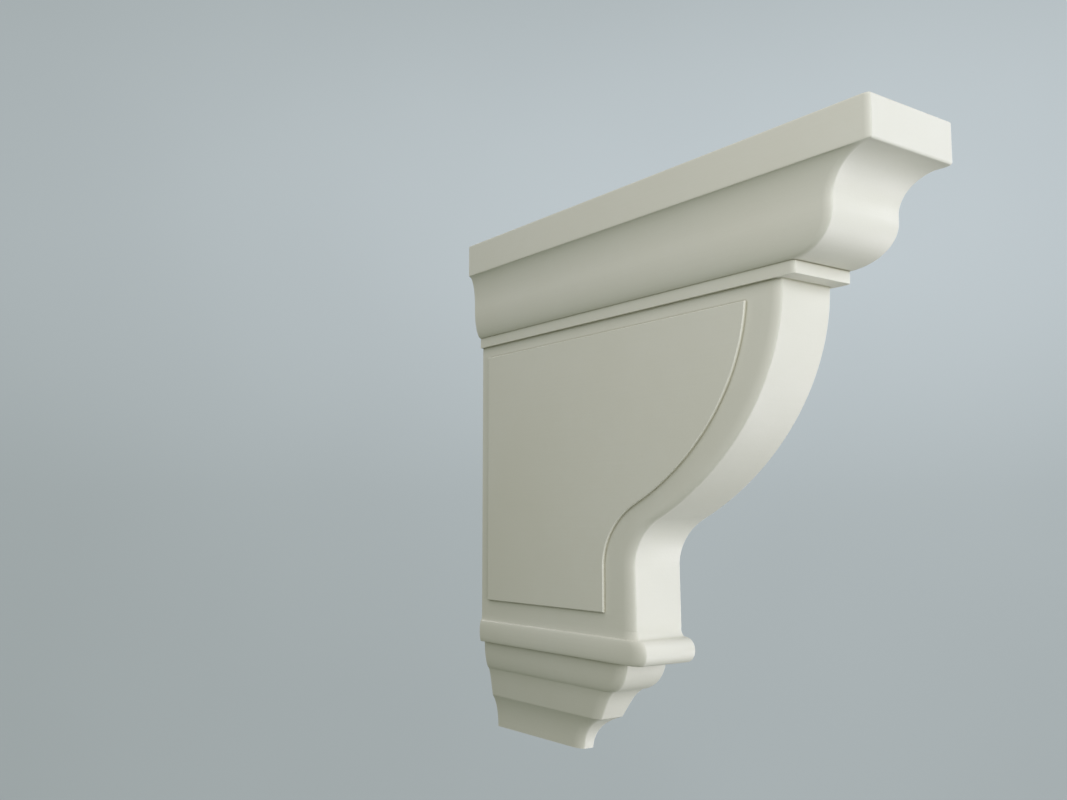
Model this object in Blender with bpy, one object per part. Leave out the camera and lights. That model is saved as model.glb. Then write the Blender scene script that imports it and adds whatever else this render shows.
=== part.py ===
"""A deep, narrow moulded corbel: crown moulding, curved bracket body and stepped drop.

The back is flat on the plane y = 0, the corbel reaches out along -Y and is symmetric about
x = 0. The origin is the centre of the back, half way up. All lengths are in metres.
"""

import math
from collections import namedtuple

import bmesh
import bpy
from mathutils import Vector
from mathutils.geometry import interpolate_bezier

# Body: how far it stands out under the crown, and its width
BODY_DEPTH = 0.3703
BODY_WIDTH = 0.0546

# Crown: a square slab, a cyma below it and a fillet that stands on the body
SLAB_HEIGHT = 0.0295
CYMA_HEIGHT = 0.0593
FILLET_HEIGHT = 0.0093
CROWN_FRONT_OVERHANG = 0.0876
CROWN_SIDE_OVERHANG = 0.0168
FILLET_FRONT_OVERHANG = 0.0145

# Front of the body: a belly runs through a neck into a shaft that is nearly straight
BELLY_RADIUS = 0.1945
NECK_RADIUS = 0.0446
CURVE_STRETCH = 1.411
SHAFT_LENGTH = 0.0496
SHAFT_DEPTH = 0.2143
SHAFT_FLARE = 0.0013

# Nosing: a small cove runs out into a half round
COVE_HEIGHT = 0.0075
COVE_RUN = 0.0046
NOSE_HEIGHT = 0.0198
NOSE_RUN = 0.0086

# Drop below the nosing: an ovolo, an ogee and a cavetto, each set further back
OVOLO_SETBACK = 0.0151
OVOLO_HEIGHT = 0.0254
OVOLO_RUN = 0.0223
OGEE_HEIGHT = 0.0253
OGEE_RUN = 0.0217
CAVETTO_HEIGHT = 0.0297
CAVETTO_RUN = 0.0310
DROP_SIDE_INSET = 0.0191

# How each member of the drop bends: two handles, as shares of its run and its height
OVOLO_BEND = ((0.02, 0.48), (0.45, 0.93))
OGEE_BEND = ((0.46, 0.23), (0.57, 0.47))
CAVETTO_BEND = ((0.60, 0.20), (0.95, 0.50))

# Raised panel on each flank
PANEL_RELIEF = 0.0025
PANEL_WALL_MARGIN = 0.0126
PANEL_TOP_MARGIN = 0.0110
PANEL_FOOT_MARGIN = 0.0119
PANEL_BELLY_MARGIN = 0.0308
PANEL_SHAFT_MARGIN = 0.0332
PANEL_BELLY_TIGHTENING = 0.0145
PANEL_NECK_WIDENING = 0.0134

# Softened edges
CROWN_EDGE_RADIUS = 0.0015
FILLET_EDGE_RADIUS = 0.0006
FILLET_CORNER_RADIUS = 0.0012
BODY_EDGE_RADIUS = 0.0035
NOSE_EDGE_RADIUS = 0.0030
DROP_EDGE_RADIUS = 0.0022

# Fineness of the curves
BELLY_STEPS = 24
CURVE_STEPS = 12
SMALL_CURVE_STEPS = 7
EDGE_STEPS = 3
CORNER_STEPS = 4
SMOOTH_ANGLE = math.radians(28)
WELD_DISTANCE = 0.00001

CREAM_PAINT = (0.79, 0.79, 0.74, 1.0)
PAINT_ROUGHNESS = 0.45


def arc_centres(front_depth, belly_radius, shaft_depth, neck_radius):
    """Centres of a bracket front's belly and neck before the stretch, z measured from the body's top."""
    belly = Vector((front_depth / CURVE_STRETCH - belly_radius, 0))
    neck_out = shaft_depth / CURVE_STRETCH + neck_radius
    fall = math.sqrt((belly_radius + neck_radius) ** 2 - (neck_out - belly.x) ** 2)
    return belly, Vector((neck_out, -fall))


# Sizes that follow from the ones above
HALF_WIDTH = BODY_WIDTH / 2
CROWN_HEIGHT = SLAB_HEIGHT + CYMA_HEIGHT + FILLET_HEIGHT
NOSING_HEIGHT = COVE_HEIGHT + NOSE_HEIGHT
DROP_HEIGHT = OVOLO_HEIGHT + OGEE_HEIGHT + CAVETTO_HEIGHT
CURVE_HEIGHT = -arc_centres(BODY_DEPTH, BELLY_RADIUS, SHAFT_DEPTH, NECK_RADIUS)[1].y
BODY_HEIGHT = CURVE_HEIGHT + SHAFT_LENGTH
TOP = (CROWN_HEIGHT + BODY_HEIGHT + NOSING_HEIGHT + DROP_HEIGHT) / 2
BODY_TOP = TOP - CROWN_HEIGHT
BODY_FOOT = BODY_TOP - BODY_HEIGHT
FOOT_DEPTH = SHAFT_DEPTH + SHAFT_FLARE
DROP_FRONT_INSET = OVOLO_SETBACK + OVOLO_RUN + OGEE_RUN + CAVETTO_RUN

# The mouldings' side returns are squeezed copies of their fronts
CROWN_RETURN = CROWN_SIDE_OVERHANG / CROWN_FRONT_OVERHANG
DROP_RETURN = DROP_SIDE_INSET / DROP_FRONT_INSET

# One level of the corbel: height, reach from the wall, half width and corner radius
Section = namedtuple("Section", "z depth half_width corner")


def quarter(start, end, upright_first, steps):
    """Points of a quarter ellipse between two (run, z) points, without the first one.

    It leaves the start upright and reaches the end level, or the other way round.
    """
    points = []
    for step in range(1, steps + 1):
        angle = math.pi / 2 * step / steps
        run_share, drop_share = 1 - math.cos(angle), math.sin(angle)
        if not upright_first:
            run_share, drop_share = drop_share, run_share
        points.append((
            start[0] + (end[0] - start[0]) * run_share,
            start[1] + (end[1] - start[1]) * drop_share,
        ))
    return points


def bend(start, run, height, handles, steps):
    """Points of a curve that runs back and down from a (projection, z) point, without that point."""
    shares = ((0, 0), *handles, (1, 1))
    corners = [Vector((start[0] - run * back, start[1] - height * down)) for back, down in shares]
    return [tuple(point) for point in interpolate_bezier(*corners, steps + 1)[1:]]


def slab_and_cyma_profile():
    """(projection, z) points down the slab and the cyma, measured out from the body's front."""
    out, edge = CROWN_FRONT_OVERHANG, CROWN_EDGE_RADIUS
    slab_foot = TOP - SLAB_HEIGHT
    middle = ((out + FILLET_FRONT_OVERHANG) / 2, slab_foot - CYMA_HEIGHT / 2)
    cyma_foot = (FILLET_FRONT_OVERHANG - FILLET_EDGE_RADIUS, slab_foot - CYMA_HEIGHT)

    points = [(out - edge, TOP)]
    points += quarter(points[-1], (out, TOP - edge), False, EDGE_STEPS)
    points.append((out, slab_foot + edge))
    points += quarter(points[-1], (out - edge, slab_foot), True, EDGE_STEPS)
    points += quarter(points[-1], middle, False, CURVE_STEPS)
    return points + quarter(middle, cyma_foot, True, CURVE_STEPS)


def fillet_profile():
    """(projection, z) points down the fillet, measured out from the body's front."""
    out, edge = FILLET_FRONT_OVERHANG, FILLET_EDGE_RADIUS
    fillet_top = BODY_TOP + FILLET_HEIGHT
    return [(out, fillet_top - edge), (out, BODY_TOP + edge), (out - edge, BODY_TOP)]


def front_curve(front_depth, belly_radius, shaft_depth, neck_radius, top_margin):
    """(depth, z) points down a bracket front, from below the body's top to where the shaft begins.

    Belly and neck are two arcs that touch, drawn round and then stretched in depth.
    """
    belly, neck = arc_centres(front_depth, belly_radius, shaft_depth, neck_radius)
    turn = math.acos((neck.x - belly.x) / (belly_radius + neck_radius))
    start = math.asin(top_margin / belly_radius)
    drawn = []
    for step in range(BELLY_STEPS + 1):
        angle = start + (turn - start) * step / BELLY_STEPS
        drawn.append(belly + belly_radius * Vector((math.cos(angle), -math.sin(angle))))
    for step in range(1, CURVE_STEPS + 1):
        angle = turn * (1 - step / CURVE_STEPS)
        drawn.append(neck + neck_radius * Vector((-math.cos(angle), math.sin(angle))))
    return [(point.x * CURVE_STRETCH, BODY_TOP + point.y) for point in drawn]


def nosing_profile():
    """(projection, z) points down the nosing, measured out from the shaft's foot."""
    nose_top = BODY_FOOT - COVE_HEIGHT
    nose_foot = nose_top - NOSE_HEIGHT
    tip = (COVE_RUN + NOSE_RUN, nose_top - NOSE_HEIGHT / 2)
    points = quarter((0, BODY_FOOT), (COVE_RUN, nose_top), True, SMALL_CURVE_STEPS)
    points += quarter(points[-1], tip, False, SMALL_CURVE_STEPS)
    points += quarter(tip, (COVE_RUN, nose_foot), True, SMALL_CURVE_STEPS)
    return points


def drop_profile():
    """(projection, z) points down the drop; the projections are negative, as it is set back."""
    points = [(-OVOLO_SETBACK, BODY_FOOT - NOSING_HEIGHT)]
    points += bend(points[-1], OVOLO_RUN, OVOLO_HEIGHT, OVOLO_BEND, SMALL_CURVE_STEPS)
    points += bend(points[-1], OGEE_RUN, OGEE_HEIGHT, OGEE_BEND, CURVE_STEPS)
    points += bend(points[-1], CAVETTO_RUN, CAVETTO_HEIGHT, CAVETTO_BEND, CURVE_STEPS)
    return points


def moulding_sections(profile, depth, side_share, corner):
    """Levels of a moulding that stands out by its profile, and by a share of it at the sides."""
    return [Section(z, depth + out, HALF_WIDTH + out * side_share, corner) for out, z in profile]


def corbel_sections():
    """Every level of the corbel from the top down."""
    body_front = front_curve(BODY_DEPTH, BELLY_RADIUS, SHAFT_DEPTH, NECK_RADIUS, 0)
    body_front.append((FOOT_DEPTH, BODY_FOOT))
    return [
        *moulding_sections(slab_and_cyma_profile(), BODY_DEPTH, CROWN_RETURN, CROWN_EDGE_RADIUS),
        *moulding_sections(fillet_profile(), BODY_DEPTH, CROWN_RETURN, FILLET_CORNER_RADIUS),
        *[Section(z, depth, HALF_WIDTH, BODY_EDGE_RADIUS) for depth, z in body_front],
        *moulding_sections(nosing_profile(), FOOT_DEPTH, CROWN_RETURN, NOSE_EDGE_RADIUS),
        *moulding_sections(drop_profile(), FOOT_DEPTH, DROP_RETURN, DROP_EDGE_RADIUS),
    ]


def section_points(section):
    """One level's outline from the wall, round the two front corners and back to the wall."""
    z, depth, half_width, corner = section
    points = [Vector((-half_width, 0, z))]
    for side, first_angle in ((-1, math.pi), (1, math.pi * 1.5)):
        centre = Vector((side * (half_width - corner), -(depth - corner), z))
        for step in range(CORNER_STEPS + 1):
            angle = first_angle + math.pi / 2 * step / CORNER_STEPS
            points.append(centre + corner * Vector((math.cos(angle), math.sin(angle), 0)))
    points.append(Vector((half_width, 0, z)))
    return points


def build_body():
    """Lofts the corbel through its levels and closes it at the top, the bottom and the back."""
    mesh = bpy.data.meshes.new("corbel")
    bm = bmesh.new()
    rings = [[bm.verts.new(p) for p in section_points(s)] for s in corbel_sections()]
    for upper, lower in zip(rings, rings[1:]):
        for i in range(len(upper) - 1):
            bm.faces.new((upper[i], lower[i], lower[i + 1], upper[i + 1]))
    bm.faces.new(rings[0])
    bm.faces.new(reversed(rings[-1]))
    bm.faces.new([ring[0] for ring in reversed(rings)] + [ring[-1] for ring in rings])
    bmesh.ops.recalc_face_normals(bm, faces=bm.faces)
    bm.to_mesh(mesh)
    bm.free()
    return bpy.data.objects.new("corbel", mesh)


def panel_outline():
    """(depth, z) corners and curve of the flank panel, whose front keeps a margin to the body's."""
    foot = BODY_FOOT + PANEL_FOOT_MARGIN
    shaft_depth = SHAFT_DEPTH - PANEL_SHAFT_MARGIN
    front = front_curve(
        BODY_DEPTH - PANEL_BELLY_MARGIN,
        BELLY_RADIUS - PANEL_BELLY_TIGHTENING,
        shaft_depth,
        NECK_RADIUS + PANEL_NECK_WIDENING,
        PANEL_TOP_MARGIN,
    )
    return [
        (PANEL_WALL_MARGIN, foot),
        (PANEL_WALL_MARGIN, BODY_TOP - PANEL_TOP_MARGIN),
        *front,
        (shaft_depth, foot),
    ]


def build_panels():
    """One slab through the body whose two ends stand proud as the flank panels."""
    curve = bpy.data.curves.new("flank_panels", "CURVE")
    curve.dimensions = "2D"
    curve.fill_mode = "BOTH"
    curve.extrude = HALF_WIDTH + PANEL_RELIEF
    outline = panel_outline()
    spline = curve.splines.new("POLY")
    spline.points.add(len(outline) - 1)
    for point, (depth, z) in zip(spline.points, outline):
        point.co = (-depth, z, 0, 1)
    spline.use_cyclic_u = True

    flat = bpy.data.objects.new("flank_panels_curve", curve)
    flat.rotation_euler = (math.pi / 2, 0, math.pi / 2)
    bpy.context.scene.collection.objects.link(flat)
    bpy.context.view_layer.update()
    mesh = bpy.data.meshes.new_from_object(flat.evaluated_get(bpy.context.evaluated_depsgraph_get()))
    bm = bmesh.new()
    bm.from_mesh(mesh)
    bmesh.ops.remove_doubles(bm, verts=bm.verts, dist=WELD_DISTANCE)
    bm.to_mesh(mesh)
    bm.free()
    panels = bpy.data.objects.new("flank_panels", mesh)
    panels.matrix_world = flat.matrix_world
    bpy.data.objects.remove(flat)
    return panels


def cream_paint():
    """Semi-matte off-white paint."""
    material = bpy.data.materials.new("cream_paint")
    material.use_nodes = True
    shader = material.node_tree.nodes["Principled BSDF"]
    shader.inputs["Base Color"].default_value = CREAM_PAINT
    shader.inputs["Roughness"].default_value = PAINT_ROUGHNESS
    shader.inputs["Metallic"].default_value = 0.0
    return material


def collection(name):
    """A new collection in the scene."""
    made = bpy.data.collections.new(name)
    bpy.context.scene.collection.children.link(made)
    return made


def main():
    for old in list(bpy.data.objects):
        bpy.data.objects.remove(old)
    corbel = build_body()
    collection("corbel").objects.link(corbel)
    panels = build_panels()
    collection("cutters").objects.link(panels)
    panels.hide_render = True
    panels.display_type = "WIRE"

    union = corbel.modifiers.new("flank_panels", "BOOLEAN")
    union.operation = "UNION"
    union.object = panels
    corbel.data.shade_smooth()
    corbel.data.set_sharp_from_angle(angle=SMOOTH_ANGLE)
    corbel.data.materials.append(cream_paint())


main()
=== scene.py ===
"""A moulded corbel in satin cream paint, seen from its left and a little below in a pale studio.

The corbel's fine surface is worked out from the same profiles as its solid and fitted to the solid's
box. The back stands on the plane y = 0, the corbel reaches out along -Y, +Z is up, all in metres.
"""

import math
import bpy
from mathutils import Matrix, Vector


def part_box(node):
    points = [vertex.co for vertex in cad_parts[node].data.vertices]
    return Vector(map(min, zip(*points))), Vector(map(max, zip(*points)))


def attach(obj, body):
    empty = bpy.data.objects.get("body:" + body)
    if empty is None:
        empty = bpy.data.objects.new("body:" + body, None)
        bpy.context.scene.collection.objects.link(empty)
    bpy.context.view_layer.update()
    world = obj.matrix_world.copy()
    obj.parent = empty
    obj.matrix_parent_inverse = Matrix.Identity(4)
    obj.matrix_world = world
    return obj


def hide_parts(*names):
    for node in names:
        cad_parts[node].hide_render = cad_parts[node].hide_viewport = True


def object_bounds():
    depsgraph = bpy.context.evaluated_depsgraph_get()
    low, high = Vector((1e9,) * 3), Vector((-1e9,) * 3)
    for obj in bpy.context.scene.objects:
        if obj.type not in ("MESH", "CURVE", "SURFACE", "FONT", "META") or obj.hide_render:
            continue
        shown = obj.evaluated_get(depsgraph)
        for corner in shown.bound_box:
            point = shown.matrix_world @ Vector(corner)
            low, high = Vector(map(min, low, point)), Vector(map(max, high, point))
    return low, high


bl_info = {
    "name": "Moulded Corbel",
    "version": (1, 0, 0),
    "blender": (4, 5, 0),
    "location": "3D View > Sidebar > Corbel",
    "description": "Builds a painted moulded corbel, a pale studio around it and its camera",
    "category": "Add Mesh",
}

from collections import namedtuple

import bmesh
import bpy
from bpy.props import FloatProperty, FloatVectorProperty, IntProperty, PointerProperty
from bpy.types import Operator, Panel, PropertyGroup
from mathutils import Matrix, Vector
from mathutils.geometry import interpolate_bezier

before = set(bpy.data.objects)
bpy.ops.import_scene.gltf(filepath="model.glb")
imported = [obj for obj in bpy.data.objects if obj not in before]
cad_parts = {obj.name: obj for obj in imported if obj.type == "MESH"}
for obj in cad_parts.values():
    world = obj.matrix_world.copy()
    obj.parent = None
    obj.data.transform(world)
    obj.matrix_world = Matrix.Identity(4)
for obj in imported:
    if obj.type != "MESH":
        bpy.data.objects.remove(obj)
CAD_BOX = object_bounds()
SOLID = "corbel"

# The image is taken to be this wide, in pixels
IMAGE_WIDTH = 1067

Section = namedtuple("Section", "z depth half_width corner")


def length(name, description, default):
    """A property that holds a length in metres."""
    return FloatProperty(
        name=name, description=description, default=default, min=0.0, unit="LENGTH", precision=5
    )


def count(name, description, default):
    """A property that holds a number of steps."""
    return IntProperty(name=name, description=description, default=default, min=1)


def colour(name, description, default):
    """A property that holds a linear colour."""
    return FloatVectorProperty(
        name=name, description=description, default=default, min=0.0, max=1.0, subtype="COLOR"
    )


def share(name, description, default):
    """A property that holds a plain number between 0 and 1."""
    return FloatProperty(name=name, description=description, default=default, min=0.0, max=1.0)


def ratio(name, description, default):
    """A property that says how many times as long one thing is as another."""
    return FloatProperty(name=name, description=description, default=default, min=0.1)


def bearing(name, description, degrees):
    """A property that holds an angle, with its default given in degrees."""
    return FloatProperty(name=name, description=description, default=math.radians(degrees), unit="ROTATION")


def watts(name, description, default):
    """A property that holds a light's power."""
    return FloatProperty(name=name, description=description, default=default, min=0.0, unit="POWER")


def offset(name, description, default):
    """A property that holds a place in metres."""
    return FloatVectorProperty(
        name=name, description=description, default=default, subtype="TRANSLATION", unit="LENGTH"
    )


class CorbelCrownSizes(PropertyGroup):
    """The slab, the cyma under it and the fillet that stands on the body."""

    slab_height: length("Slab Height", "Height of the square slab on top", 0.0295)
    cyma_height: length("Cyma Height", "Height of the double curve under the slab", 0.0593)
    cyma_waist: length("Cyma Waist", "Height of the upright strip between its two curves", 0.0045)
    fillet_height: length("Fillet Height", "Height of the flat band on the body", 0.0093)
    front_overhang: length("Front Overhang", "How far the slab stands out past the body's front", 0.0876)
    side_overhang: length("Side Overhang", "How far the slab stands out past a flank", 0.0168)
    fillet_overhang: length("Fillet Overhang", "How far the fillet stands out past the front", 0.0145)


class CorbelBodySizes(PropertyGroup):
    """The bracket's belly, neck and shaft."""

    belly_radius: length("Belly Radius", "Radius of the belly before the stretch", 0.1945)
    neck_radius: length("Neck Radius", "Radius of the neck before the stretch", 0.0446)
    stretch: ratio("Curve Stretch", "How much longer the curves are in depth", 1.411)
    shaft_depth: length("Shaft Depth", "How far the shaft stands out from the wall", 0.2143)
    shaft_flare: length("Shaft Flare", "How much further out the shaft's foot stands", 0.0013)


class CorbelFootSizes(PropertyGroup):
    """The nosing under the shaft and the drop under the nosing."""

    cove_height: length("Cove Height", "Height of the hollow above the nosing", 0.0075)
    cove_run: length("Cove Run", "How far the hollow runs out", 0.0046)
    nose_height: length("Nosing Height", "Height of the half round", 0.0198)
    nose_run: length("Nosing Run", "How far the half round stands out", 0.0086)
    ovolo_setback: length("Ovolo Setback", "How far the drop is set back under the nosing", 0.0151)
    ovolo_height: length("Ovolo Height", "Height of the drop's round member", 0.0254)
    ovolo_run: length("Ovolo Run", "How far the round member runs back", 0.0223)
    ogee_height: length("Ogee Height", "Height of the drop's double curve", 0.0253)
    ogee_run: length("Ogee Run", "How far the double curve runs back", 0.0217)
    cavetto_height: length("Cavetto Height", "Height of the drop's hollow", 0.0297)
    cavetto_run: length("Cavetto Run", "How far the hollow runs back", 0.0310)
    side_inset: length("Side Inset", "How far the drop's foot is set in from a flank", 0.0191)


class CorbelPanelSizes(PropertyGroup):
    """The raised panel on each flank."""

    relief: length("Relief", "How far the panel stands proud", 0.0025)
    wall_margin: length("Wall Margin", "From the wall to the panel", 0.0126)
    top_margin: length("Top Margin", "From the fillet down to the panel", 0.0110)
    foot_margin: length("Foot Margin", "From the cove up to the panel", 0.0119)
    belly_margin: length("Belly Margin", "From the body's front back to the panel, at the top", 0.0308)
    shaft_margin: length("Shaft Margin", "From the shaft's front back to the panel", 0.0332)
    belly_tightening: length("Belly Tightening", "How much smaller the panel's belly radius is", 0.0145)
    neck_widening: length("Neck Widening", "How much larger the panel's neck radius is", 0.0134)
    arris_radius: length("Arris Radius", "Rounding of the panel's outer edge", 0.0008)


class CorbelEdgeSizes(PropertyGroup):
    """How soft each member's corners and arrises are."""

    slab: length("Slab", "Rounding of the slab's edges and corners", 0.0017)
    cyma: length("Cyma", "Rounding of the cyma's corners", 0.0024)
    fillet: length("Fillet", "Rounding of the fillet's edges", 0.0006)
    fillet_corner: length("Fillet Corner", "Rounding of the fillet's corners", 0.0016)
    body: length("Body", "Rounding of the body's upright edges, at its top", 0.0027)
    shaft: length("Shaft", "Rounding of the body's upright edges, at its foot", 0.0041)
    nose: length("Nosing", "Rounding of the nosing's corners", 0.0046)
    drop: length("Drop", "Rounding of the drop's corners", 0.0041)
    corner_stretch: ratio("Corner Stretch", "How much longer a corner's rounding is in depth", 3.0)


class CorbelFineness(PropertyGroup):
    """How many steps the curves are made of."""

    belly: count("Belly Steps", "Steps down the belly", 110)
    curve: count("Curve Steps", "Steps of a large curve", 40)
    small_curve: count("Small Curve Steps", "Steps of a small curve", 20)
    edge: count("Edge Steps", "Steps of a rounded edge", 6)
    corner: count("Corner Steps", "Steps of a rounded corner", 10)


class CorbelPaint(PropertyGroup):
    """The satin paint."""

    cream: colour("Cream", "The paint where it lies full", (0.805, 0.803, 0.742))
    warm_cream: colour("Warm Cream", "The paint where it lies a little thinner", (0.785, 0.779, 0.705))
    # Crevice colour: fine dust in creases, and painted shade in creases and hollows where shade falls
    crevice_dust_and_shade: colour("Crevice", "The paint in creases, with fine dust on it", (0.33, 0.315, 0.21))
    arris: colour("Arris", "The paint where it has drawn back from an edge", (0.84, 0.835, 0.785))
    cloud_size: length("Cloud Size", "Size of the soft changes of colour", 0.16)
    mottle_size: length("Mottle Size", "Size of the fine changes of colour", 0.012)
    mottle_strength: share("Mottle Strength", "How far the fine changes of colour go", 0.35)
    gloss_size: length("Gloss Size", "Size of the soft changes of gloss", 0.05333)
    peel_size: length("Peel Size", "Size of the paint's orange peel", 0.0016)
    peel_height: length("Peel Height", "Height of the orange peel", 0.00004)
    drag_size: length("Drag Size", "Height of a brush drag along the mouldings", 0.0024)
    drag_length: length("Drag Length", "Length of a brush drag", 0.08)
    drag_height: length("Drag Height", "How proud the brush drags stand", 0.00004)
    wave_size: length("Wave Size", "Size of the moulding's slow waves", 0.05)
    wave_height: length("Wave Height", "Height of the moulding's slow waves", 0.0003)
    # Painted shade: the hollow mask darkens the paint in hollows and under overhangs, where shade falls
    hollow_shade_reach: length("Hollow Reach", "How far the faint dulling of a hollow reaches", 0.014)
    hollow_shade_strength: share("Hollow Strength", "How much a hollow is dulled", 0.17)
    # Dust and painted shade: the crease mask darkens the paint in creases, both with dust and with shade
    crease_dust_and_shade_reach: length("Crease Reach", "How far dust reaches out of a crease", 0.0027)
    crease_dust_and_shade_strength: share("Crease Strength", "How much dust lies in a crease", 0.9)
    arris_reach: length("Arris Reach", "How wide the drawn back paint is", 0.0015)
    arris_strength: share("Arris Strength", "How much the paint has drawn back", 0.2)
    smooth_roughness: share("Smooth Roughness", "Roughness where the paint is smoothest", 0.45)
    dull_roughness: share("Dull Roughness", "Roughness where the paint is dullest", 0.58)


class CorbelStudio(PropertyGroup):
    """The floor and the lights."""

    floor_drop: length("Floor Drop", "From the corbel's foot down to the floor", 1.5)
    floor_radius: length("Floor Radius", "Radius of the round floor up to its raised rim", 3.6)
    sweep_radius: length("Sweep Radius", "Radius of the curve between floor and rim", 1.8)
    rim_height: length("Rim Height", "Height of the rim above the corbel's middle", 7.0)
    floor_colour: colour("Floor Colour", "The pale floor", (0.60, 0.659, 0.74))
    floor_lamp_place: offset("Floor Lamp Place", "The floor's lamp, from its middle", (0.8, 0.6, 3.0))
    floor_power: watts("Floor Power", "Light that falls on the floor alone", 181.0)
    fill_lamp_place: offset("Fill Lamp Place", "The floor's second lamp, from its middle", (-0.6, -1.1, 3.2))
    fill_power: watts("Fill Power", "Light on the camera's side of the floor alone", 120.0)
    sky_colour: colour("Sky Colour", "The even light from all around", (0.886, 1.0, 0.491))
    sky_strength: share("Sky Strength", "Strength of the even light", 0.114)
    key_place: offset("Key Place", "Key light, from the corbel's middle", (-0.842, -1.458, 0.236))
    key_power: watts("Key Power", "Broad light from the front and left", 21.6)
    key_colour: colour("Key Colour", "Colour of the key light", (0.969, 0.969, 1.0))
    low_place: offset("Low Place", "Low light, from the corbel's middle", (1.760, -0.936, -0.930))
    low_power: watts("Low Power", "Light thrown up from the right", 26.5)
    low_colour: colour("Low Colour", "Colour of the low light", (0.905, 0.89, 0.97))
    high_place: offset("High Place", "High light, from the corbel's middle", (1.760, -0.936, 0.930))
    high_power: watts("High Power", "Cool light thrown down from the right", 17.2)
    high_colour: colour("High Colour", "Colour of the high light", (0.83, 0.845, 0.985))
    top_place: offset("Top Place", "Top light, from the corbel's middle", (-0.449, -0.120, 0.997))
    top_power: watts("Top Power", "Warm light close above the left flank", 3.2)
    top_colour: colour("Top Colour", "Colour of the top light", (1.0, 0.944, 0.977))
    back_place: offset("Back Place", "Back light, from the corbel's middle", (0.3, 2.0, 0.6))
    back_power: watts("Back Power", "Light on the flat back", 30.0)


class CorbelCamera(PropertyGroup):
    """Where the camera stands and what it sees."""

    place: offset("Place", "Where the camera stands", (-0.57632, -0.84018, -0.03481))
    azimuth: bearing("Azimuth", "How far the camera is turned to the right of +Y", 35.937)
    pitch: bearing("Pitch", "How far the camera looks up", 5.5)
    lens: FloatProperty(
        name="Lens", description="Focal length in millimetres, on a 36 mm sensor", default=35.343, min=1.0
    )
    lens_shift: FloatProperty(
        name="Lens Shift", description="Upward shift of the lens, in pixels of the image", default=19.3
    )


# Profiles of the mouldings

def quarter(start, end, upright_first, steps):
    """Points of a quarter ellipse between two (run, z) points, without the first one."""
    points = []
    for step in range(1, steps + 1):
        angle = math.pi / 2 * step / steps
        run_share, drop_share = 1 - math.cos(angle), math.sin(angle)
        if not upright_first:
            run_share, drop_share = drop_share, run_share
        points.append((
            start[0] + (end[0] - start[0]) * run_share,
            start[1] + (end[1] - start[1]) * drop_share,
        ))
    return points


def bend(start, run, height, handles, steps):
    """Points of a curve that runs back and down from a (projection, z) point, without that point."""
    shares = ((0, 0), *handles, (1, 1))
    corners = [Vector((start[0] - run * back, start[1] - height * down)) for back, down in shares]
    return [tuple(point) for point in interpolate_bezier(*corners, steps + 1)[1:]]


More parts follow.
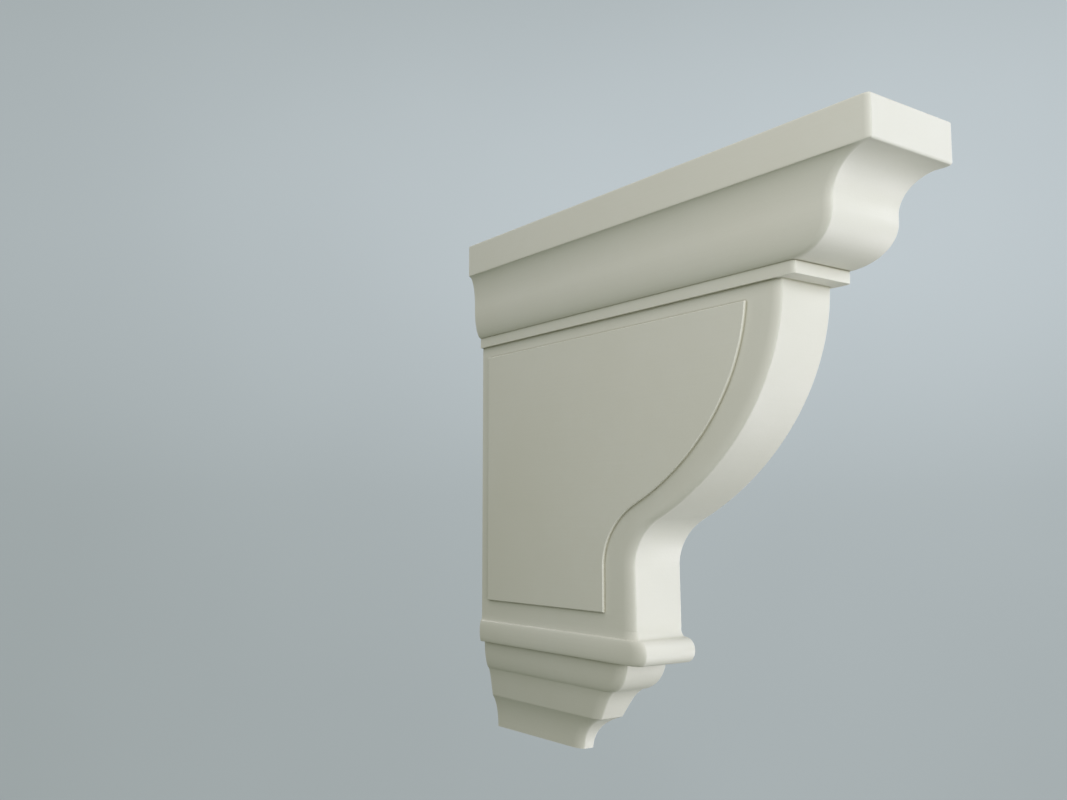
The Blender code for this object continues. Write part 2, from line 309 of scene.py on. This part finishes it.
class CorbelForm:
    """The corbel's levels and its panel outline, fitted to the solid's box."""

    # How each member of the drop bends: two handles, as shares of its run and its height
    OVOLO_BEND = ((0.02, 0.48), (0.45, 0.93))
    OGEE_BEND = ((0.46, 0.23), (0.57, 0.47))
    CAVETTO_BEND = ((0.60, 0.20), (0.95, 0.50))

    def __init__(self, settings, low, high):
        self.crown = settings.crown
        self.body = settings.body
        self.foot = settings.foot
        self.panel = settings.panel
        self.edge = settings.edge
        self.steps = settings.fineness
        crown, foot = self.crown, self.foot
        self.top = high.z
        self.body_depth = -low.y - crown.front_overhang
        self.half_width = high.x - crown.side_overhang
        self.body_top = self.top - crown.slab_height - crown.cyma_height - crown.fillet_height
        self.nose_foot = low.z + foot.ovolo_height + foot.ogee_height + foot.cavetto_height
        self.body_foot = self.nose_foot + foot.nose_height + foot.cove_height
        self.foot_depth = self.body.shaft_depth + self.body.shaft_flare
        self.crown_return = crown.side_overhang / crown.front_overhang
        drop_inset = foot.ovolo_setback + foot.ovolo_run + foot.ogee_run + foot.cavetto_run
        self.drop_return = foot.side_inset / drop_inset

    def slab_profile(self):
        """(projection, z) points round the slab's two edges."""
        out, edge = self.crown.front_overhang, self.edge.slab
        foot = self.top - self.crown.slab_height
        points = [(out - edge, self.top)]
        points += quarter(points[-1], (out, self.top - edge), False, self.steps.edge)
        points.append((out, foot + edge))
        return points + quarter(points[-1], (out - edge, foot), True, self.steps.edge)

    def cyma_profile(self):
        """(projection, z) points down the cyma, hollow above and round below."""
        top = self.top - self.crown.slab_height
        start = (self.crown.front_overhang - self.edge.slab, top)
        end = (self.crown.fillet_overhang - self.edge.fillet, top - self.crown.cyma_height)
        waist_out = (self.crown.front_overhang + self.crown.fillet_overhang) / 2
        waist_top = top - (self.crown.cyma_height - self.crown.cyma_waist) / 2
        points = quarter(start, (waist_out, waist_top), False, self.steps.curve)
        points.append((waist_out, waist_top - self.crown.cyma_waist))
        return points + quarter(points[-1], end, True, self.steps.curve)

    def fillet_profile(self):
        """(projection, z) points down the fillet, with a fine rounding at both edges."""
        out, edge = self.crown.fillet_overhang, self.edge.fillet
        top = self.body_top + self.crown.fillet_height
        points = quarter((out - edge, top), (out, top - edge), False, self.steps.edge)
        points.append((out, self.body_top + edge))
        return points + quarter(points[-1], (out - edge, self.body_top), True, self.steps.edge)

    def front_curve(self, front_depth, belly_radius, shaft_depth, neck_radius, top_margin):
        """(depth, z) points down a bracket front: two arcs that touch, stretched in depth."""
        stretch = self.body.stretch
        belly = Vector((front_depth / stretch - belly_radius, 0))
        neck_out = shaft_depth / stretch + neck_radius
        between = belly_radius + neck_radius
        neck = Vector((neck_out, -math.sqrt(between ** 2 - (neck_out - belly.x) ** 2)))
        turn = math.acos((neck.x - belly.x) / between)
        start = math.asin(top_margin / belly_radius)
        drawn = []
        for step in range(self.steps.belly + 1):
            angle = start + (turn - start) * step / self.steps.belly
            drawn.append(belly + belly_radius * Vector((math.cos(angle), -math.sin(angle))))
        for step in range(1, self.steps.curve + 1):
            angle = turn * (1 - step / self.steps.curve)
            drawn.append(neck + neck_radius * Vector((-math.cos(angle), math.sin(angle))))
        return [(point.x * stretch, self.body_top + point.y) for point in drawn]

    def body_front(self):
        """(depth, z) points down the whole front of the body."""
        points = self.front_curve(
            self.body_depth, self.body.belly_radius, self.body.shaft_depth, self.body.neck_radius, 0
        )
        return points + [(self.foot_depth, self.body_foot)]

    def nosing_profile(self):
        """(projection, z) points down the cove and the half round."""
        foot = self.foot
        nose_top = self.nose_foot + foot.nose_height
        tip = (foot.cove_run + foot.nose_run, nose_top - foot.nose_height / 2)
        steps = self.steps.small_curve
        points = quarter((0, self.body_foot), (foot.cove_run, nose_top), True, steps)
        points += quarter(points[-1], tip, False, steps)
        return points + quarter(tip, (foot.cove_run, self.nose_foot), True, steps)

    def drop_profile(self):
        """(projection, z) points down the drop."""
        foot = self.foot
        points = [(-foot.ovolo_setback, self.nose_foot)]
        points += bend(points[-1], foot.ovolo_run, foot.ovolo_height, self.OVOLO_BEND, self.steps.small_curve)
        points += bend(points[-1], foot.ogee_run, foot.ogee_height, self.OGEE_BEND, self.steps.curve)
        return points + bend(
            points[-1], foot.cavetto_run, foot.cavetto_height, self.CAVETTO_BEND, self.steps.curve)

    def moulding(self, profile, depth, side_share, corner):
        """Levels of a moulding that stands out by its profile, and by a share of it at the sides."""
        return [Section(z, depth + out, self.half_width + out * side_share, corner) for out, z in profile]

    def body_sections(self):
        """Levels of the body, whose upright edges grow softer towards the foot."""
        edge = self.edge
        levels = []
        for depth, z in self.body_front():
            down = (self.body_top - z) / (self.body_top - self.body_foot)
            levels.append(Section(z, depth, self.half_width, edge.body + (edge.shaft - edge.body) * down))
        return levels

    def sections(self):
        """Every level of the corbel from the top down."""
        edge = self.edge
        return [
            *self.moulding(self.slab_profile(), self.body_depth, self.crown_return, edge.slab),
            *self.moulding(self.cyma_profile(), self.body_depth, self.crown_return, edge.cyma),
            *self.moulding(self.fillet_profile(), self.body_depth, self.crown_return, edge.fillet_corner),
            *self.body_sections(),
            *self.moulding(self.nosing_profile(), self.foot_depth, self.crown_return, edge.nose),
            *self.moulding(self.drop_profile(), self.foot_depth, self.drop_return, edge.drop),
        ]

    def section_points(self, section):
        """One level's outline from the wall, round the two front corners and back to the wall."""
        z, depth, half_width, corner = section
        corner_depth = corner * self.edge.corner_stretch
        points = [Vector((-half_width, 0, z))]
        for side, first_angle in ((-1, math.pi), (1, math.pi * 1.5)):
            centre = Vector((side * (half_width - corner), -(depth - corner_depth), z))
            for step in range(self.steps.corner + 1):
                angle = first_angle + math.pi / 2 * step / self.steps.corner
                points.append(centre + Vector((corner * math.cos(angle), corner_depth * math.sin(angle), 0)))
        return points + [Vector((half_width, 0, z))]

    def panel_outline(self):
        """(depth, z) corners and curve of the flank panel."""
        panel = self.panel
        foot = self.body_foot + panel.foot_margin
        shaft_depth = self.body.shaft_depth - panel.shaft_margin
        front = self.front_curve(
            self.body_depth - panel.belly_margin,
            self.body.belly_radius - panel.belly_tightening,
            shaft_depth,
            self.body.neck_radius + panel.neck_widening,
            panel.top_margin,
        )
        top = self.body_top - panel.top_margin
        return [(panel.wall_margin, foot), (panel.wall_margin, top), *front, (shaft_depth, foot)]


# Meshes of the corbel

SMOOTH_ANGLE = math.radians(30)
PANEL_ARRIS_STEPS = 4


def loft_mesh(form):
    """The corbel without its panels, closed at the top, the bottom and the back."""
    mesh = bpy.data.meshes.new("corbel_loft")
    bm = bmesh.new()
    rings = [[bm.verts.new(p) for p in form.section_points(s)] for s in form.sections()]
    for upper, lower in zip(rings, rings[1:]):
        for i in range(len(upper) - 1):
            bm.faces.new((upper[i], lower[i], lower[i + 1], upper[i + 1]))
    bm.faces.new(rings[0])
    bm.faces.new(reversed(rings[-1]))
    bm.faces.new([ring[0] for ring in reversed(rings)] + [ring[-1] for ring in rings])
    bmesh.ops.recalc_face_normals(bm, faces=bm.faces)
    bm.to_mesh(mesh)
    bm.free()
    return mesh


def panel_mesh(form):
    """One slab through the body, rounded along the outlines of its two ends."""
    reach = form.half_width + form.panel.relief
    outline = form.panel_outline()
    mesh = bpy.data.meshes.new("flank_panels")
    bm = bmesh.new()
    ends = [[bm.verts.new((side * reach, -depth, z)) for depth, z in outline] for side in (-1, 1)]
    for end in ends:
        bm.faces.new(end)
    for i in range(len(outline)):
        j = (i + 1) % len(outline)
        bm.faces.new((ends[0][i], ends[0][j], ends[1][j], ends[1][i]))
    bmesh.ops.recalc_face_normals(bm, faces=bm.faces)
    rims = [edge for edge in bm.edges if abs(edge.verts[0].co.x - edge.verts[1].co.x) < reach]
    bmesh.ops.bevel(
        bm, geom=rims, offset=form.panel.arris_radius, segments=PANEL_ARRIS_STEPS, profile=0.5,
        affect="EDGES", clamp_overlap=True,
    )
    bm.to_mesh(mesh)
    bm.free()
    return mesh


def united(name, base_mesh, added_mesh):
    """One object made of two meshes joined by a Boolean."""
    base = bpy.data.objects.new(name, base_mesh)
    added = bpy.data.objects.new(name + "_added", added_mesh)
    for part in (base, added):
        bpy.context.scene.collection.objects.link(part)
    union = base.modifiers.new("panels", "BOOLEAN")
    union.operation = "UNION"
    union.object = added
    evaluated = base.evaluated_get(bpy.context.evaluated_depsgraph_get())
    joined = bpy.data.meshes.new_from_object(evaluated)
    base.modifiers.clear()
    base.data = joined
    joined.name = name
    bpy.data.objects.remove(added)
    return base


def shade(piece):
    """Smooth on the curves, crisp at the creases, and flat where the faces are flat."""
    piece.data.shade_smooth()
    piece.data.set_sharp_from_angle(angle=SMOOTH_ANGLE)
    weighted = piece.modifiers.new("weighted_normals", "WEIGHTED_NORMAL")
    weighted.mode = "FACE_AREA"
    weighted.keep_sharp = True


# The paint

# The Mix node's sockets when it mixes colours
MIX_FACTOR = 0
MIX_FIRST = 6
MIX_SECOND = 7
MIX_RESULT = 2

# The part of a noise's values that is spread out from nothing to full
NOISE_MIDDLE = (0.35, 0.65)
NOISE_SPAN = (0.3, 0.7)

# How open to its surroundings a point is, where a mask is full and where it has faded out
HOLLOW_SHADE_OPENNESS = (0.4, 0.95)
CREASE_DUST_AND_SHADE_OPENNESS = (0.45, 0.9)
ARRIS_OPENNESS = (0.5, 0.95)
OPENNESS_SAMPLES = 8

PAINT_IOR = 1.47
NODE_SPACING = 200


def node(tree, kind, place, **values):
    """A shader node at a place in the editor, with its properties set."""
    made = tree.nodes.new(kind)
    made.location = place
    for name, value in values.items():
        setattr(made, name, value)
    return made


def noise(tree, coordinates, size, place, detail):
    """A noise texture whose bumps are about the given size."""
    made = node(tree, "ShaderNodeTexNoise", place)
    made.inputs["Scale"].default_value = 1 / size
    made.inputs["Detail"].default_value = detail
    tree.links.new(coordinates, made.inputs["Vector"])
    return made.outputs["Fac"]


def spread(tree, value, from_range, to_range, place):
    """A value moved from one range to another."""
    made = node(tree, "ShaderNodeMapRange", place, clamp=True)
    names = ("From Min", "From Max", "To Min", "To Max")
    for name, number in zip(names, (*from_range, *to_range)):
        made.inputs[name].default_value = number
    tree.links.new(value, made.inputs["Value"])
    return made.outputs["Result"]


def mask(tree, reach, openness, strength, place, inside=False):
    """A mask of hollows and creases, or of arrises if it looks inside the solid."""
    made = node(tree, "ShaderNodeAmbientOcclusion", place, samples=OPENNESS_SAMPLES, inside=inside)
    made.inputs["Distance"].default_value = reach
    beside = (place[0] + NODE_SPACING, place[1])
    return spread(tree, made.outputs["AO"], openness, (strength, 0.0), beside)


def bumped(tree, pattern, height, normal, place):
    """A normal with a pattern's bumps on it, added to another normal where there is one."""
    made = node(tree, "ShaderNodeBump", place)
    made.inputs["Strength"].default_value = 1.0
    made.inputs["Distance"].default_value = height
    tree.links.new(pattern, made.inputs["Height"])
    if normal is not None:
        tree.links.new(normal, made.inputs["Normal"])
    return made.outputs["Normal"]


def mixed(tree, factor, first, second, place):
    """Two colours mixed by a factor; either may be a socket."""
    made = node(tree, "ShaderNodeMix", place, data_type="RGBA")
    for socket, value in ((made.inputs[MIX_FIRST], first), (made.inputs[MIX_SECOND], second)):
        if isinstance(value, bpy.types.NodeSocket):
            tree.links.new(value, socket)
        else:
            socket.default_value = (*value, 1.0)
    tree.links.new(factor, made.inputs[MIX_FACTOR])
    return made.outputs[MIX_RESULT]


def satin_paint(look):
    """Satin paint: soft clouds and mottle, painted shade in hollows, dust and painted shade in creases, drawn
    back arrises, brush drags and peel.
    """
    material = bpy.data.materials.new("satin_cream_paint")
    material.use_nodes = True
    tree = material.node_tree
    shader = tree.nodes["Principled BSDF"]
    shader.inputs["Metallic"].default_value = 0.0
    shader.inputs["IOR"].default_value = PAINT_IOR
    point = node(tree, "ShaderNodeTexCoord", (-1400, 0)).outputs["Object"]

    clouds = noise(tree, point, look.cloud_size, (-1200, 400), detail=2.0)
    cloudy = spread(tree, clouds, NOISE_MIDDLE, (0.0, 1.0), (-1000, 400))
    mottle = noise(tree, point, look.mottle_size, (-1200, 200), detail=3.0)
    mottled = spread(tree, mottle, NOISE_SPAN, (0.0, look.mottle_strength), (-1000, 200))
    # Painted shade in hollows and under overhangs, darker where less of the surroundings is open
    hollow = mask(tree, look.hollow_shade_reach, HOLLOW_SHADE_OPENNESS, look.hollow_shade_strength, (-1000, 100))
    # Dust and painted shade in the creases
    crease = mask(tree, look.crease_dust_and_shade_reach, CREASE_DUST_AND_SHADE_OPENNESS, look.crease_dust_and_shade_strength, (-1000, -100))
    arris = mask(tree, look.arris_reach, ARRIS_OPENNESS, look.arris_strength, (-1000, -300), inside=True)
    paint = mixed(tree, cloudy, look.cream, look.warm_cream, (-800, 400))
    paint = mixed(tree, mottled, paint, look.warm_cream, (-600, 400))
    # The crevice colour paints shade into the hollows, and dust and shade into the creases
    paint = mixed(tree, hollow, paint, look.crevice_dust_and_shade, (-400, 400))
    paint = mixed(tree, crease, paint, look.crevice_dust_and_shade, (-200, 400))
    paint = mixed(tree, arris, paint, look.arris, (0, 400))
    tree.links.new(paint, shader.inputs["Base Color"])

    gloss = noise(tree, point, look.gloss_size, (-1200, -400), detail=4.0)
    dullness = spread(tree, gloss, NOISE_SPAN, (look.smooth_roughness, look.dull_roughness), (-1000, -400))
    tree.links.new(dullness, shader.inputs["Roughness"])

    drawn_out = look.drag_size / look.drag_length
    along = node(tree, "ShaderNodeMapping", (-1200, -900))
    along.inputs["Scale"].default_value = (drawn_out, drawn_out, 1.0)
    tree.links.new(point, along.inputs["Vector"])
    waves = noise(tree, point, look.wave_size, (-800, -600), detail=1.0)
    drags = noise(tree, along.outputs["Vector"], look.drag_size, (-800, -800), detail=2.0)
    peel = noise(tree, point, look.peel_size, (-800, -1000), detail=2.0)
    relief = bumped(tree, waves, look.wave_height, None, (-600, -600))
    relief = bumped(tree, drags, look.drag_height, relief, (-400, -600))
    relief = bumped(tree, peel, look.peel_height, relief, (-200, -600))
    tree.links.new(relief, shader.inputs["Normal"])
    return material


# The studio

RIM_STEPS = 128
SWEEP_STEPS = 24

# Sizes of the lamps and of the floor's patches, in metres
BROAD_LAMP = 1.4
CLOSE_LAMP = 0.7
FLOOR_LAMP_RADIUS = 0.5
PATCH_SIZE = 1.2

# The floor's darker patches, as a share of its colour
PATCH_SHADE = 0.97


def floor_profile(studio, floor_z, rim_z):
    """(radius, z) points from the edge of the flat floor up the sweep and the rim."""
    sweep = studio.sweep_radius
    points = [(studio.floor_radius - sweep, floor_z)]
    for step in range(1, SWEEP_STEPS + 1):
        angle = math.pi / 2 * step / SWEEP_STEPS
        points.append((
            studio.floor_radius - sweep + sweep * math.sin(angle),
            floor_z + sweep * (1 - math.cos(angle)),
        ))
    return points + [(studio.floor_radius, rim_z)]


def floor_mesh(studio, floor_z, rim_z):
    """A round pale floor that sweeps up into a high rim."""
    bm = bmesh.new()
    rings = []
    for radius, z in floor_profile(studio, floor_z, rim_z):
        turned = [Matrix.Rotation(math.tau * i / RIM_STEPS, 3, "Z") for i in range(RIM_STEPS)]
        rings.append([bm.verts.new(turn @ Vector((radius, 0, z))) for turn in turned])
    bm.faces.new(rings[0])
    for inner, outer in zip(rings, rings[1:]):
        for i in range(RIM_STEPS):
            j = (i + 1) % RIM_STEPS
            bm.faces.new((inner[i], inner[j], outer[j], outer[i]))
    bmesh.ops.recalc_face_normals(bm, faces=bm.faces)
    mesh = bpy.data.meshes.new("studio_floor")
    bm.to_mesh(mesh)
    bm.free()
    mesh.shade_smooth()
    return mesh


def floor_finish(studio):
    """Matte pale floor with the faintest unevenness."""
    material = bpy.data.materials.new("pale_floor")
    material.use_nodes = True
    tree = material.node_tree
    shader = tree.nodes["Principled BSDF"]
    shader.inputs["Roughness"].default_value = 0.9
    shader.inputs["Specular IOR Level"].default_value = 0.1
    point = node(tree, "ShaderNodeTexCoord", (-900, 0)).outputs["Object"]
    patches = noise(tree, point, PATCH_SIZE, (-700, 0), detail=2.0)
    patchy = spread(tree, patches, NOISE_SPAN, (0.0, 1.0), (-500, 0))
    darker = tuple(channel * PATCH_SHADE for channel in studio.floor_colour)
    pale = mixed(tree, patchy, studio.floor_colour, darker, (-300, 0))
    tree.links.new(pale, shader.inputs["Base Color"])
    return material


def receivers(name, floor, state):
    """What a lamp falls on: the floor alone (INCLUDE) or all but the floor (EXCLUDE)."""
    lit = bpy.data.collections.new(name)
    lit.objects.link(floor)
    lit.collection_objects[0].light_linking.link_state = state
    return lit


def soft_light(name, place, target, size, power, tint):
    """A square area light that shines at a target and isn't seen itself."""
    light = bpy.data.lights.new(name, "AREA")
    light.shape = "SQUARE"
    light.size = size
    light.energy = power
    light.color = tint
    lamp = bpy.data.objects.new(name, light)
    lamp.location = place
    lamp.rotation_euler = (Vector(target) - Vector(place)).to_track_quat("-Z", "Y").to_euler()
    lamp.visible_camera = False
    bpy.context.scene.collection.objects.link(lamp)
    return lamp


def floor_light(name, place, power):
    """A large round lamp high over the floor."""
    light = bpy.data.lights.new(name, "POINT")
    light.energy = power
    light.shadow_soft_size = FLOOR_LAMP_RADIUS
    lamp = bpy.data.objects.new(name, light)
    lamp.location = place
    lamp.visible_camera = False
    bpy.context.scene.collection.objects.link(lamp)
    return lamp


def pale_sky(studio):
    """A faint even light from all around."""
    world = bpy.data.worlds.new("pale_sky")
    world.use_nodes = True
    background = world.node_tree.nodes["Background"]
    background.inputs["Color"].default_value = (*studio.sky_colour, 1.0)
    background.inputs["Strength"].default_value = studio.sky_strength
    bpy.context.scene.world = world


# Operators

class OBJECT_OT_moulded_corbel(Operator):
    """Build the corbel's fine surface in place of its plain solid"""

    bl_idname = "object.moulded_corbel"
    bl_label = "Moulded Corbel"

    def execute(self, context):
        settings = context.scene.corbel
        low, high = (Vector(corner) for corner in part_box(SOLID))
        form = CorbelForm(settings, low, high)
        piece = united("moulded_corbel", loft_mesh(form), panel_mesh(form))
        shade(piece)
        piece.data.materials.clear()
        piece.data.materials.append(satin_paint(settings.paint))
        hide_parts(SOLID)
        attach(piece, "root")
        return {"FINISHED"}


class OBJECT_OT_corbel_studio(Operator):
    """Set a pale round floor and soft lights around the corbel"""

    bl_idname = "object.corbel_studio"
    bl_label = "Pale Studio"

    def execute(self, context):
        studio = context.scene.corbel.studio
        low, high = (Vector(corner) for corner in CAD_BOX)
        middle = (low + high) / 2
        floor_z = low.z - studio.floor_drop
        mesh = floor_mesh(studio, floor_z, middle.z + studio.rim_height)
        mesh.materials.append(floor_finish(studio))
        floor = bpy.data.objects.new("studio_floor", mesh)
        floor.location = (middle.x, middle.y, 0)
        context.scene.collection.objects.link(floor)
        floor.visible_diffuse = False

        corbel_only = receivers("all_but_floor", floor, "EXCLUDE")
        for name, place, size, power, tint in (
            ("key", studio.key_place, BROAD_LAMP, studio.key_power, studio.key_colour),
            ("low", studio.low_place, BROAD_LAMP, studio.low_power, studio.low_colour),
            ("high", studio.high_place, BROAD_LAMP, studio.high_power, studio.high_colour),
            ("top", studio.top_place, CLOSE_LAMP, studio.top_power, studio.top_colour),
            ("back", studio.back_place, BROAD_LAMP, studio.back_power, studio.key_colour),
        ):
            lamp = soft_light(name, middle + Vector(place), middle, size, power, tint)
            lamp.light_linking.receiver_collection = corbel_only

        floor_only = receivers("floor_only", floor, "INCLUDE")
        floor_middle = Vector((middle.x, middle.y, floor_z))
        for name, place, power in (
            ("floor_light", studio.floor_lamp_place, studio.floor_power),
            ("floor_fill", studio.fill_lamp_place, studio.fill_power),
        ):
            lamp = floor_light(name, floor_middle + Vector(place), power)
            lamp.light_linking.receiver_collection = floor_only
        pale_sky(studio)
        context.scene.view_settings.view_transform = "Standard"
        return {"FINISHED"}


class OBJECT_OT_corbel_camera(Operator):
    """Set the camera where the corbel's left flank, front and undersides show"""

    bl_idname = "object.corbel_camera"
    bl_label = "Camera"

    def execute(self, context):
        view = context.scene.corbel.camera
        camera = bpy.data.cameras.new("camera")
        camera.lens = view.lens
        camera.shift_y = view.lens_shift / IMAGE_WIDTH
        camera.dof.use_dof = False
        holder = bpy.data.objects.new("camera", camera)
        holder.location = view.place
        holder.rotation_euler = (math.pi / 2 + view.pitch, 0, -view.azimuth)
        context.scene.collection.objects.link(holder)
        context.scene.camera = holder
        return {"FINISHED"}


class CorbelSettings(PropertyGroup):
    """Everything that the corbel, its studio and its camera are made from."""

    crown: PointerProperty(type=CorbelCrownSizes)
    body: PointerProperty(type=CorbelBodySizes)
    foot: PointerProperty(type=CorbelFootSizes)
    panel: PointerProperty(type=CorbelPanelSizes)
    edge: PointerProperty(type=CorbelEdgeSizes)
    fineness: PointerProperty(type=CorbelFineness)
    paint: PointerProperty(type=CorbelPaint)
    studio: PointerProperty(type=CorbelStudio)
    camera: PointerProperty(type=CorbelCamera)


class VIEW3D_PT_moulded_corbel(Panel):
    """The corbel's sizes and looks, and the operators that use them."""

    bl_label = "Moulded Corbel"
    bl_idname = "VIEW3D_PT_moulded_corbel"
    bl_space_type = "VIEW_3D"
    bl_region_type = "UI"
    bl_category = "Corbel"

    def draw(self, context):
        settings = context.scene.corbel
        for operator, groups in STEPS:
            self.layout.operator(operator.bl_idname)
            for group in groups:
                box = self.layout.box()
                box.label(text=group.replace("_", " ").title())
                values = getattr(settings, group)
                for name in type(values).__annotations__:
                    box.prop(values, name)


# Each operator in the order it runs, with the groups of settings that it uses
STEPS = (
    (OBJECT_OT_moulded_corbel, ("crown", "body", "foot", "panel", "edge", "fineness", "paint")),
    (OBJECT_OT_corbel_studio, ("studio",)),
    (OBJECT_OT_corbel_camera, ("camera",)),
)

CLASSES = (
    CorbelCrownSizes,
    CorbelBodySizes,
    CorbelFootSizes,
    CorbelPanelSizes,
    CorbelEdgeSizes,
    CorbelFineness,
    CorbelPaint,
    CorbelStudio,
    CorbelCamera,
    CorbelSettings,
    OBJECT_OT_moulded_corbel,
    OBJECT_OT_corbel_studio,
    OBJECT_OT_corbel_camera,
    VIEW3D_PT_moulded_corbel,
)


def register():
    """Adds the classes, and the corbel's settings to every scene."""
    for item in CLASSES:
        bpy.utils.register_class(item)
    bpy.types.Scene.corbel = PointerProperty(type=CorbelSettings)


def unregister():
    """Takes the settings and the classes away again."""
    del bpy.types.Scene.corbel
    for item in reversed(CLASSES):
        bpy.utils.unregister_class(item)


def main():
    """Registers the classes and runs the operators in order."""
    register()
    bpy.ops.object.moulded_corbel()
    bpy.ops.object.corbel_studio()
    bpy.ops.object.corbel_camera()


if __name__ == "__main__":
    main()
